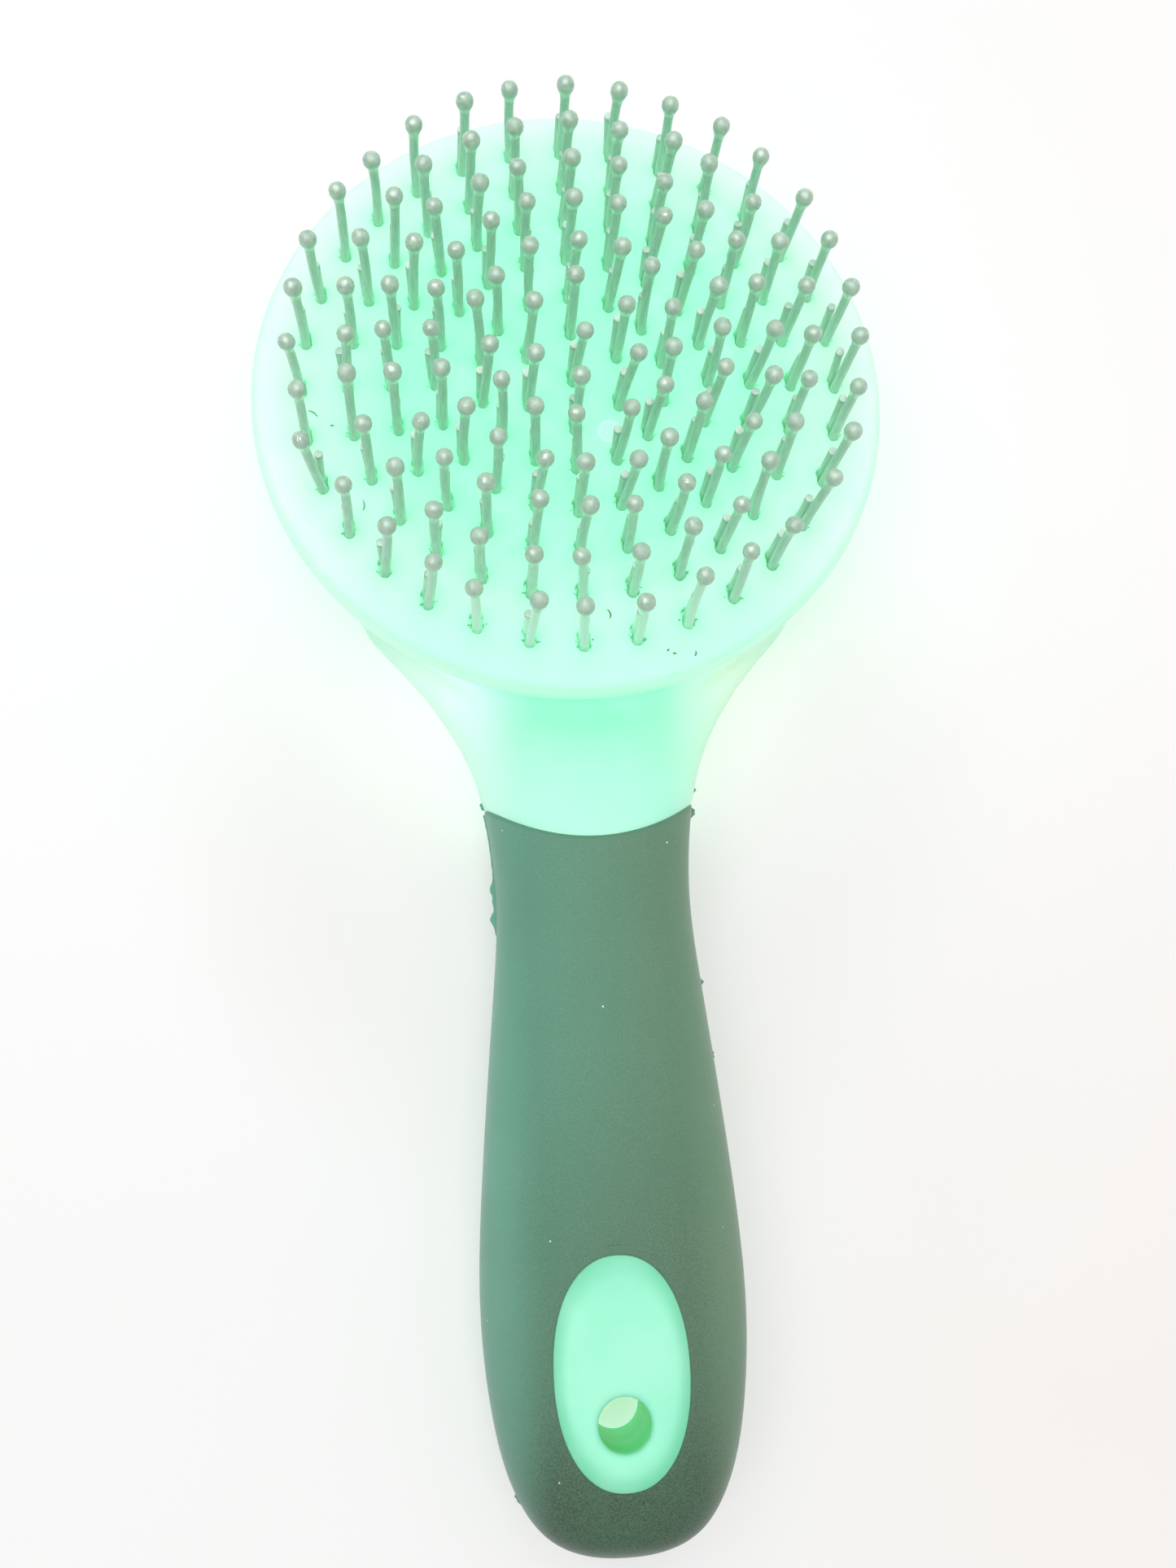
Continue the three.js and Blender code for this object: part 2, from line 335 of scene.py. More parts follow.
def body_mesh():
    """Back shell, neck and core in one solid, with the air chamber and the hang hole."""
    counts = np.ceil((GRID_HIGH - GRID_LOW) / GRID_STEP).astype(int)
    axes = [GRID_LOW[i] + GRID_STEP * np.arange(counts[i]) for i in range(3)]
    x, y, z = np.meshgrid(*axes, indexing="ij", sparse=True)
    value = loft_value(x, y, z)
    gx, gy, gz = np.gradient(value, GRID_STEP)
    handle = value / np.maximum(np.sqrt(gx * gx + gy * gy + gz * gz), 0.02)
    handle = np.maximum(handle + core_inset(x, y), y - (HEAD_Y - NECK_START))

    radius = np.hypot(x, y - HEAD_Y)
    fine = np.arange(0, 140, 0.1)
    outer = BOWL_OUTSIDE[:1] + rounded_profile(BOWL_OUTSIDE[1:])
    outer += BOWL_LIP[:2] + [(0, BOWL_LIP[1][1])]
    inner = [(0, RIM_Z), (BOWL_LIP[2][0], RIM_Z)]
    inner += rounded_profile(BOWL_INSIDE[:-1]) + BOWL_INSIDE[-1:]
    tables = [
        np.stack([polygon_distance(fine, np.full(fine.shape, h), corners) for h in axes[2]])
        for corners in (outer, inner)
    ]
    bowl, chamber = (
        np.stack([np.interp(radius[:, :, 0], fine, row) for row in table], axis=2)
        for table in tables
    )
    # The neck stays under the cushion's skirt and rises in a ramp outside it.
    ramp = z - SKIRT_Z + 0.04 - 7.5 * ease(HEAD_RADIUS + 0.1, HEAD_RADIUS + 14, radius)
    lip = np.maximum(radius - BOWL_LIP[0][0], z - BOWL_LIP[1][1])
    solid = soft_min(bowl, handle, BOWL_TO_NECK)
    solid = np.minimum(soft_max(solid, ramp, RAMP_EDGE), np.maximum(lip, bowl))
    solid = soft_max(solid, -chamber, CHAMBER_EDGE)
    hole = np.hypot(x, y - HOLE_Y) - HOLE_RADIUS
    return surface_of(soft_max(solid, -hole, HOLE_EDGE), GRID_LOW, GRID_STEP)


# ---- the grip ----
GRIP_COLUMNS = 144
EDGE_STEPS = [0, 0.05, 0.12, 0.22, 0.34, 0.6, 1.0, 1.5]
GRIP_LENGTH = HANDLE_END - GRIP_EDGE
EDGE_WALL = 0.46


def grip_ring(behind):
    """One closed ring of the handle's outside, parallel to the grip's curved front edge and,
    further back, square to the handle."""
    turn = turns(GRIP_COLUMNS)
    across, up = (np.sign(v) * np.abs(v) ** (2 / SQUARENESS) for v in (np.cos(turn), np.sin(turn)))
    distance = np.full(GRIP_COLUMNS, GRIP_EDGE + behind)
    for _ in range(6):
        x = section(distance)[0] * across
        curved = EDGE_CENTRE + np.sqrt((GRIP_EDGE_RADIUS + behind) ** 2 - x * x)
        square = ease(10, 45, behind)
        distance = curved * (1 - square) + (GRIP_EDGE + behind) * square
    a, b, middle = section(distance)
    return np.stack([a * across, HEAD_Y - distance, middle + b * up], axis=1)


def handle_top(x, y, side):
    """Height of the handle's upper side (1) or underside (-1)."""
    a, b, middle = section(HEAD_Y - y)
    share = np.maximum(1 - (np.abs(x) / a) ** SQUARENESS, 0) ** (1 / SQUARENESS)
    return middle + side * b * share


def window_patch(points, faces, loop, side):
    """Fills between a loop of points and the window's outline with rows that follow the outline."""
    n, w, h = WINDOW_POWER, WINDOW_HALF_WIDTH, WINDOW_HALF_LENGTH
    previous = loop
    outer = np.array([points[i][:2] for i in loop]) - (0, WINDOW_Y)
    reach = np.linalg.norm(outer, axis=1)
    ray = outer / reach[:, None]
    outline = ((np.abs(ray[:, 0]) / w) ** n + (np.abs(ray[:, 1]) / h) ** n) ** (-1 / n)
    rows = [outline + (reach - outline) * t for t in (0.8, 0.6, 0.4)]
    rows += [outline + step for step in EDGE_STEPS[::-1]]
    for row in rows:
        first = len(points)
        plan = ray * row[:, None] + (0, WINDOW_Y)
        height = handle_top(plan[:, 0], plan[:, 1], side)
        points.extend(np.column_stack([plan, height]))
        current = range(first, first + len(loop))
        faces.extend(quads_between(previous, current))
        previous = current


def thicken(points, faces, outer_inset, inner_inset, normals):
    """A closed wall between two insets of a surface, joined along the surface's open edges."""
    count = len(points)
    both = np.concatenate([points - normals * i[:, None] for i in (outer_inset, inner_inset)])
    walls = [[b, a, a + count, b + count] for a, b in open_edges(faces)]
    return both, faces + [[i + count for i in f[::-1]] for f in faces] + walls


def grip_mesh():
    """The sleeve: rings from the curved front edge to the nose, with a window on both sides."""
    window_start = WINDOW_DISTANCE - GRIP_EDGE - WINDOW_HALF_LENGTH - 3.2
    window_end = WINDOW_DISTANCE - GRIP_EDGE + WINDOW_HALF_LENGTH + 2.8
    rows = EDGE_STEPS + list(np.linspace(2.2, window_start, 60))
    first_row = len(rows) - 1
    rows += list(np.linspace(window_start, window_end, 44)[1:])
    last_row = len(rows) - 1
    nose = math.sqrt(GRIP_LENGTH - window_end)
    rows += [GRIP_LENGTH - root**2 for root in np.linspace(nose, 0.1, 26)[1:]]
    columns = GRIP_COLUMNS
    points = [p for behind in rows for p in grip_ring(behind)]
    faces = []
    eighth = columns // 8
    patches = [(eighth, 3 * eighth, 1), (5 * eighth, 7 * eighth, -1)]
    for i in range(len(rows) - 1):
        for j in range(columns):
            if first_row <= i < last_row and any(a <= j < b for a, b, _ in patches):
                continue
            k = (j + 1) % columns
            here, beyond = i * columns, (i + 1) * columns
            faces.append([here + k, beyond + k, beyond + j, here + j])
    for a, b, side in patches:
        loop = [first_row * columns + j for j in range(a, b)]
        loop += [i * columns + b for i in range(first_row, last_row)]
        loop += [last_row * columns + j for j in range(b, a, -1)]
        loop += [i * columns + a for i in range(last_row, first_row, -1)]
        window_patch(points, faces, loop, side)
    points.append(np.array([0, HEAD_Y - HANDLE_END, section(HANDLE_END)[2]]))
    last = (len(rows) - 1) * columns
    faces += [[last + (j + 1) % columns, len(points) - 1, last + j] for j in range(columns)]
    points = np.array(points)
    normals = normals_of(points)
    normals[-1] = 0, -1, 0
    behind = np.minimum(past_grip_edge(*points.T[:2]), past_window(*points.T[:2]))
    rounding = EDGE_STEPS[4]
    towards = np.clip(rounding - behind, 0, rounding)
    drop = rounding - np.sqrt(np.maximum(rounding**2 - towards**2, 0))
    return thicken(points, faces, drop, EDGE_WALL + ease(0, 3, behind), normals)


def flash_fin(side, start, lengths_and_widths):
    """A thin ragged fin of flash along the grip's parting line, as a closed strip."""
    points, faces = [], []
    distance = start
    for length, width in lengths_and_widths:
        a, _, middle = section(np.array([distance]))
        x, y, z = float(a[0]), HEAD_Y - distance, float(middle[0])
        slope = 0.25 * width
        for out, thick in ((-0.35, 0.13), (width, 0.05)):
            for up in (thick, -thick):
                points.append((side * (x + out), y, z + up + slope * (out > 0)))
        distance += length
    ring = [0, 2, 3, 1] if side > 0 else [0, 1, 3, 2]
    last = len(points) - 4
    for i in range(0, last, 4):
        for a, b in zip(ring, ring[1:] + ring[:1]):
            faces.append([i + b, i + a, i + 4 + a, i + 4 + b])
    return points, faces + [ring, [last + k for k in ring[::-1]]]


def join(parts):
    """One list of points and faces from several."""
    points, faces, first = [], [], 0
    for some_points, some_faces in parts:
        points.extend(map(tuple, some_points))
        faces.extend([first + int(i) for i in f] for f in some_faces)
        first += len(some_points)
    return points, faces


def grip_flash(draw):
    """The flash that the mould left along the grip's parting line."""
    start, length = 66.7, 0.36
    # (distance from the head's centre, height, width)
    bumps = [(78.2, 0.55, 1.1), (82.6, 0.75, 1.0), (80.2, 0.3, 0.8)]
    left = []
    for i in range(52):
        distance = start + length * i
        width = 0.16 + 0.1 * draw.random() + sum(
            h * math.exp(-(((distance - c) / w) ** 2)) for c, h, w in bumps
        )
        left.append((length, width * ease(85.4, 84.2, distance) + 0.02))
    # (length, width) of each step of the other fins
    edge = [(0.2, 0.1), (0.22, 0.3), (0.25, 0.42), (0.25, 0.25), (0.25, 0.34), (0.2, 0.12)]
    corner = [(0.2, 0.12), (0.25, 0.45), (0.25, 0.62), (0.3, 0.55), (0.3, 0.7), (0.3, 0.38)]
    corner += [(0.3, 0.16)]
    sliver = [(0.2, 0.08), (0.25, 0.3), (0.3, 0.36), (0.25, 0.1)]
    speck = [(0.25, 0.08), (0.3, 0.4), (0.3, 0.58), (0.3, 0.3), (0.3, 0.1)]
    small = [(0.3, 0.1), (0.3, 0.34), (0.35, 0.2), (0.35, 0.3), (0.3, 0.08)]
    # (side, distance from the head's centre, steps)
    fins = [
        (-1, start, left), (-1, 64.8, edge), (1, 66.6, corner), (1, 63.4, sliver),
        (1, 92.6, speck), (1, 103.2, small), (-1, 161.6, small),
    ]
    return [flash_fin(*fin) for fin in fins]


# ---- the cushion ----
SEGMENTS = 288
ARC_RADIUS = HEAD_RADIUS - LIP_ROUNDING
ARC_TOP = math.radians(90) - math.atan(2 * CROWN * ARC_RADIUS / HEAD_RADIUS**2)


def dome_z(radius):
    return RIM_Z + CROWN * (1 - (radius / HEAD_RADIUS) ** 2)


ARC_START = ARC_RADIUS + LIP_ROUNDING * math.cos(ARC_TOP)
ARC_Z = dome_z(ARC_START) - LIP_ROUNDING * math.sin(ARC_TOP)
SEAM_ANGLE = math.asin((RIM_Z - ARC_Z) / LIP_ROUNDING)
SEAM_RADIUS = ARC_RADIUS + LIP_ROUNDING * math.cos(SEAM_ANGLE)


def pad_top(radius):
    arc = ARC_Z + np.sqrt(np.maximum(LIP_ROUNDING**2 - (radius - ARC_RADIUS) ** 2, 0))
    return np.where(radius < ARC_START, dome_z(radius), arc)


def pad_under(radius):
    thick = dome_z(radius) - PAD_THICKNESS
    return thick + (RIM_Z - thick) * ease(45.4, 46.2, radius)


def lathe(profile):
    """A closed ring of quads: a closed profile of (radius, height) turned round the head's axis."""
    points = [
        (r * math.cos(t), HEAD_Y + r * math.sin(t), z) for t in turns(SEGMENTS) for r, z in profile
    ]
    n = len(profile)
    rows = [range(i * n, i * n + n) for i in range(SEGMENTS)]
    faces = [f for i in range(SEGMENTS) for f in quads_between(rows[i], rows[(i + 1) % SEGMENTS])]
    return np.array(points), faces


def rim_mesh():
    """The cushion's rounded edge and skirt, which stay still when the dome is pressed."""
    edge, corner = LIP_ROUNDING, 0.28
    arc = [
        (ARC_RADIUS + edge * math.cos(t), ARC_Z + edge * math.sin(t))
        for t in np.linspace(SEAM_ANGLE, 0, 22)
    ]
    skirt = [(HEAD_RADIUS - 0.02, SKIRT_Z + 0.8), (HEAD_RADIUS - 0.1, SKIRT_Z + 0.4)]
    skirt += [
        (HEAD_RADIUS - 0.4 + corner * math.cos(t), SKIRT_Z + corner - corner * math.sin(t))
        for t in (0.2, 0.7, 1.2, 1.57)
    ]
    inside = BOWL_LIP[0][0] + PAD_CLEARANCE
    seat = BOWL_LIP[1][1] + PAD_CLEARANCE
    skirt += [(inside + 0.5, SKIRT_Z), (inside + 0.15, SKIRT_Z + 0.1), (inside, SKIRT_Z + 0.35)]
    under = [(inside, seat), (inside - 1.5, seat + 0.05), (inside - 1.55, RIM_Z - 0.3)]
    under += [(inside - 1.3, RIM_Z - 0.07), (inside + 0.6, RIM_Z - 0.04)]
    return lathe(arc + skirt + under)


def bristle_places(radius, count):
    """(x, y) of each bristle of a ring, from the one on the brush's axis at the head's far edge."""
    for i in range(count):
        turn = math.pi / 2 - i / count * 2 * math.pi
        yield radius * math.cos(turn), HEAD_Y + radius * math.sin(turn)


# The two circles that a hole follows, one round each leg: (x, y, radius)
HOLE_CIRCLES = [(0.02, -0.74, 0.86), (-0.12, 0.74, 0.9)]
HOLE_WAIST = 0.84
HOLE_POINTS = 30
# Rows of points round a hole: (distance outside it, lift above the dome, take every nth point)
HOLE_LIFT = -0.04
LIP_ROWS = [(0.1, 0.07, 1), (0.28, 0.1, 1), (0.62, 0.02, 2)]
CORE_RADIUS = 44.6
POINT_SPACING = 1.12
# Distances from a hole's middle: painted shade on the underside, seen down the hole, and painted
# shade round the bristle's base on top
HOLE_SHADE_UNDER = 2.2
BASE_SHADE_START, BASE_SHADE_REACH = 1.15, 1.5
OUTER_ROWS = [
    45.0, 45.4, 45.8, 46.2, 46.7, 47.2, ARC_RADIUS, ARC_START,
    48.15, 48.32, 48.46, 48.58, 48.68, 48.75, SEAM_RADIUS,
]


def towards_handle(y):
    """How far a bristle is towards the handle, from 0 to 1, where its hole is pulled open."""
    return min(1.0, max(0.0, (34 - y) / 14))


def hole_outline(draw, wider):
    """A pierced hole that hugs the two legs of a bristle, with a short tear on either side."""
    outline = []
    tears = [draw.uniform(-0.7, -0.2), math.pi - draw.uniform(-0.7, -0.2)]
    for k in range(HOLE_POINTS):
        turn = 2 * math.pi * k / HOLE_POINTS
        c, s = math.cos(turn), math.sin(turn)
        reach = HOLE_WAIST
        for cx, cy, tight in HOLE_CIRCLES:
            r = tight + wider
            along, off = c * cx + s * cy, c * cy - s * cx
            if abs(off) < r:
                reach = max(reach, along + math.sqrt(r * r - off * off))
        reach += draw.uniform(-0.02, 0.03)
        for tear in tears:
            gap = abs((turn - tear + math.pi) % (2 * math.pi) - math.pi)
            reach += 0.14 * max(0, 1 - gap / 0.24)
        outline.append((reach * c, reach * s))
    return np.array(outline)


def lip_rows(outline):
    """The rows of points round a hole, rounder from row to row, each with its lift."""
    reach = np.linalg.norm(outline, axis=1, keepdims=True)
    for out, lift, every in LIP_ROWS:
        grown = reach + out if out < 0.2 else reach * 0.65 + 0.35 * reach.mean() + out
        yield (outline / reach * grown)[::every], lift


def circle(radius):
    return [(radius * math.cos(t), radius * math.sin(t)) for t in turns(SEGMENTS)]


def fill_points(middles):
    """A triangular grid of points over the dome, clear of the holes."""
    row_height = POINT_SPACING * 0.866
    rows = int(CORE_RADIUS / row_height) + 1
    for i in range(-rows, rows + 1):
        for j in range(-rows - 5, rows + 6):
            p = np.array([(j + 0.5 * (i % 2)) * POINT_SPACING, i * row_height])
            off = (p - middles) * (1, 0.86)
            if np.hypot(*p) < CORE_RADIUS - 0.7 and np.hypot(*off.T).min() > 2.25:
                yield p


def dome_plan(draw, places):
    """The dome seen from above: its points with their lift, the outermost row of points, the
    outline of each hole, and the faces between them."""
    plan, lift, edges, holes = [], [], [], []

    def add(p, height=0.0):
        plan.append(tuple(p))
        lift.append(height)
        return len(plan) - 1

    def closed(indices):
        edges.extend(zip(indices, indices[1:] + indices[:1]))
        return indices

    border = closed([add(p) for p in circle(CORE_RADIUS)])
    middles = np.array([(x, y - HEAD_Y) for x, y in places])
    for (_, y), middle in zip(places, middles):
        outline = hole_outline(draw, wider=0.14 * towards_handle(y))
        holes.append(closed([add(middle + p, HOLE_LIFT) for p in outline]))
        for row, height in lip_rows(outline):
            for p in row:
                add(middle + p, height)
    for p in fill_points(middles):
        add(p)

    result = delaunay_2d_cdt([Vector(p) for p in plan], edges, [], 0, 1e-6)
    triangles = np.array([list(f) for f in result[2]])
    if len(result[0]) != len(plan):
        raise RuntimeError("the dome's points were merged")
    flat = np.array(plan)
    hole_of = np.full(len(plan), -1)
    for k, hole in enumerate(holes):
        hole_of[hole] = k
    corners = hole_of[triangles]
    same = (corners == corners[:, :1]).all(axis=1) & (corners[:, 0] >= 0)
    centre = flat[triangles].mean(axis=1)
    keep = np.ones(len(triangles), bool)
    for t in np.flatnonzero(same):
        keep[t] = not within(centre[t], flat[holes[corners[t, 0]]])
    return plan, lift, border, holes, [list(map(int, f)) for f in triangles[keep]]


def shard(base, apex, sink=0.12):
    """A small closed pyramid of torn rubber on four base points."""
    n = len(base)
    points = [(x, y, z - sink) for x, y, z in base] + [apex]
    faces = [list(range(n))[::-1]] + [[i, (i + 1) % n, n] for i in range(n)]
    return points, faces


def torn_ears(draw, places):
    """Ragged ears of rubber on both sides of each hole, larger towards the handle."""
    for x, y in places:
        z = float(dome_z(math.hypot(x, y - HEAD_Y)))
        for side in (-1, 1):
            for _ in range(draw.choice((1, 1, 2))):
                out, back = draw.uniform(0.92, 1.05), draw.uniform(-0.95, 0.1)
                size = draw.uniform(0.1, 0.2) * (1 + 0.7 * towards_handle(y))
                base = [
                    (x + side * (out + dx * size), y + back + dy * size, z)
                    for dx, dy in ((-0.9, -1), (0.9, -0.7), (0.9, 0.8), (-0.9, 1))
                ]
                apex = (
                    x + side * (out + size + draw.uniform(0.03, 0.28) * (1 + towards_handle(y))),
                    y + back + draw.uniform(-0.3, 0.3),
                    z + draw.uniform(0.14, 0.36),
                )
                yield shard(base[::-1] if side < 0 else base, apex)


def dome_mesh(draw):
    """The cushion's domed sheet with its holes and torn ears, how much painted shade each point
    gets round its bristle's base, and how much it takes the torn colour, also painted as shade down
    a hole."""
    places = [p for _, radius, count in RINGS for p in bristle_places(radius, count)]
    plan, lift, border, holes, faces = dome_plan(draw, places)
    for radius in OUTER_ROWS:
        first = len(plan)
        plan.extend(circle(radius))
        lift.extend([0.0] * SEGMENTS)
        row = list(range(first, len(plan)))
        for k in range(SEGMENTS):
            after = (k + 1) % SEGMENTS
            faces.append([border[k], row[k], row[after], border[after]])
        border = row

    flat = np.array(plan)
    radius = np.hypot(*flat.T)
    count = len(flat)
    top = np.column_stack([flat[:, 0], flat[:, 1] + HEAD_Y, pad_top(radius) + np.array(lift)])
    under = np.column_stack([flat[:, 0], flat[:, 1] + HEAD_Y, pad_under(radius)])
    under_index = np.arange(count) + count
    under_index[border] = border
    outermost = set(border)
    walls = [
        [b, a, int(under_index[a]), int(under_index[b])]
        for a, b in open_edges(faces)
        if not (a in outermost and b in outermost)
    ]
    faces = faces + [[int(under_index[i]) for i in f[::-1]] for f in faces] + walls
    points = np.concatenate([top, under[: count - SEGMENTS]])

    # Painted shade: deeper green round each bristle's base, fading away from it.
    near = np.full(len(points), np.inf)
    for x, y in places:
        near = np.minimum(near, np.hypot(points[:, 0] - x, (points[:, 1] - y - 0.05) * 0.88))
    # The torn ears take the torn colour in full. As painted shade down each hole, so does the
    # underside near a hole, and the hole's edge does at a quarter of the strength.
    tear = np.zeros(len(points))
    tear[count:][near[count:] < HOLE_SHADE_UNDER] = 1
    for hole in holes:
        tear[hole] = 0.25

    points, faces = join([(points, faces), *torn_ears(draw, places)])
    ears = np.ones(len(points) - len(near))
    near, tear = np.concatenate([near, ears]), np.concatenate([tear, ears])
    return points, faces, np.exp(-np.maximum(near - BASE_SHADE_START, 0) / BASE_SHADE_REACH), tear


def within(point, outline):
    """Whether a point lies inside a closed outline."""
    x, y = point
    inside = False
    for (x0, y0), (x1, y1) in zip(outline, np.roll(outline, -1, axis=0)):
        if (y0 > y) != (y1 > y) and x < x0 + (y - y0) * (x1 - x0) / (y1 - y0):
            inside = not inside
    return inside


def sweep(path, radii, sides, cap_tilt=0.0):
    """A round bar of changing radius along a path, closed at both ends."""
    path = np.asarray(path, float)
    tangent = np.gradient(path, axis=0)
    tangent /= np.linalg.norm(tangent, axis=1, keepdims=True)
    first = np.cross(tangent[0], (1.0, 0.0, 0.0))
    if np.linalg.norm(first) < 0.1:
        first = np.cross(tangent[0], (0.0, 1.0, 0.0))
    turn = turns(sides)
    points = []
    across = first / np.linalg.norm(first)
    for p, t, r in zip(path, tangent, radii):
        across = across - t * np.dot(across, t)
        across /= np.linalg.norm(across)
        other = np.cross(t, across)
        for a in turn:
            points.append(p + r * (across * math.cos(a) + other * math.sin(a)))
    points = np.array(points)
    rows = [range(i * sides, (i + 1) * sides) for i in range(len(path))]
    faces = [f for pair in zip(rows, rows[1:]) for f in quads_between(*pair)]
    last = len(points) - sides
    faces += [list(rows[0])[::-1], list(rows[-1])]
    slant = tangent[-1] * cap_tilt * np.cos(turn)[:, None]
    points[last:] += slant
    points[last - sides:last] += slant
    return points, faces


# (x and y from the head's centre, length, heading in radians)
CURLS = [
    (-39.4, -5.0, 2.0, 2.0), (-32.8, -20.6, 1.8, 0.9), (4.0, -38.7, 1.7, 1.2),
    (12.5, -43.7, 0.5, 0.3), (16.7, -44.5, 0.9, 0.5), (-36.9, -6.6, 0.7, 2.6),
    (13.4, -44.0, 0.6, -0.6),
]
CURL_RADII = [0.04, 0.1, 0.13, 0.14, 0.14, 0.13, 0.11, 0.08, 0.03]


def flash_curls(draw):
    """Tiny curls of dark flash left lying on the cushion."""
    parts = []
    steps = len(CURL_RADII) - 1
    for x, y, length, heading in CURLS:
        path = []
        for i in range(steps + 1):
            lift = 0.09 + 0.25 * (i / steps) ** 2 * min(length, 1.2)
            path.append((x, HEAD_Y + y, float(pad_top(np.hypot(x, y))) + lift))
            x += length / steps * math.cos(heading)
            y += length / steps * math.sin(heading)
            heading += draw.uniform(0.0, 0.35)
        parts.append(sweep(path, CURL_RADII, 6))
    return parts


# ---- the bristles ----
SIDES = 16
# (height over the ball's centre, radius), in ball radii, from the tip down to the bare wire.
# The first BALL_ROWS rows have the ball's colour.
BALL = [
    (1.0, 0.03), (0.985, 0.18), (0.94, 0.34), (0.84, 0.54), (0.69, 0.72), (0.48, 0.875),
    (0.25, 0.97), (0.0, 1.0), (-0.26, 0.98), (-0.52, 0.9), (-0.8, 0.79), (-1.1, 0.69),
    (-1.45, 0.61), (-1.9, 0.56), (-2.5, 0.54),
]
BALL_ROWS = 13
LEG_HEIGHTS = [12.0, 9.0, 6.0, 3.0, 1.0, 0.0, -1.2, -BEND_DEPTH]


def wire(draw, x, y, base_z):
    """One bent wire: a long leg with a melted ball, the bend under the cushion and a short leg
    cut flat."""
    ball_radius = BALL_RADIUS * draw.uniform(0.96, 1.04)
    stretch = draw.uniform(0.0, 0.22)
    half = LEG_SPACING / 2
    path, radii = [], []
    for height, radius in BALL:
        drop = stretch * max(0.0, -height)
        path.append((0, -half, BALL_HEIGHT + (height - drop) * ball_radius))
        radii.append(max(radius * ball_radius, LEG_RADIUS) if height < 0 else radius * ball_radius)
    for height in LEG_HEIGHTS:
        path.append((0, -half, height))
        radii.append(LEG_RADIUS)
    for k in range(1, 8):
        t = math.pi * k / 8
        path.append((0, -half * math.cos(t), -BEND_DEPTH - half * math.sin(t)))
        radii.append(LEG_RADIUS + (STUB_RADIUS - LEG_RADIUS) * k / 8)
    end = STUB_HEIGHT + draw.uniform(-0.9, 0.8)
    backwards = math.tan(STUB_LEAN + math.radians(draw.uniform(-2.5, 2.5)))
    sideways = math.tan(math.radians(draw.gauss(0, 1.5)))
    aside = draw.uniform(-0.36, -0.06)
    for height in (-BEND_DEPTH, -1.2, 0.0, 1.5, 4.0, end - 1.0, end - 0.07, end):
        rise = height + BEND_DEPTH
        shift = aside * ease(-BEND_DEPTH, 0, height) + sideways * rise
        path.append((shift, half + backwards * rise, height))
        radii.append(STUB_RADIUS)
    radii[-1] = STUB_RADIUS - 0.06
    points, faces = sweep(path, radii, SIDES, cap_tilt=draw.uniform(-0.12, 0.12))
    # The long leg leans a little from where it leaves the cushion, and bows slightly.
    tilt = np.tan(np.radians([draw.gauss(0, 1.9), draw.gauss(0, 1.5)]))
    row = np.repeat(np.arange(len(path)), SIDES)
    rise = np.clip(points[:, 2], 0, None) * (row < len(BALL) + len(LEG_HEIGHTS))
    bow = draw.uniform(-0.25, 0.25)
    arch = np.sin(np.clip(rise / BALL_HEIGHT, 0, 1) * math.pi)
    points[:, 0] += rise * tilt[0] + bow * arch
    points[:, 1] += rise * tilt[1]
    ball = (row < BALL_ROWS).astype(float)
    cut = (row >= len(path) - 2).astype(float)
    return points + (x, y, base_z), faces, ball, cut


def ring_mesh(draw, radius, count):
    """All the wires of one ring, and which of their points are ball or cut end."""
    wires = [wire(draw, x, y, float(dome_z(radius))) for x, y in bristle_places(radius, count)]
    points, faces = join([w[:2] for w in wires])
    ball, cut = (np.concatenate([w[i] for w in wires]) for i in (2, 3))
    return points, faces, ball, cut


# ---- materials ----
def srgb(red, green, blue):
    """A colour given in 0-255 screen values, as linear light."""
    parts = (c / 255 for c in (red, green, blue))
    return (*(c / 12.92 if c <= 0.04045 else ((c + 0.055) / 1.055) ** 2.4 for c in parts), 1.0)


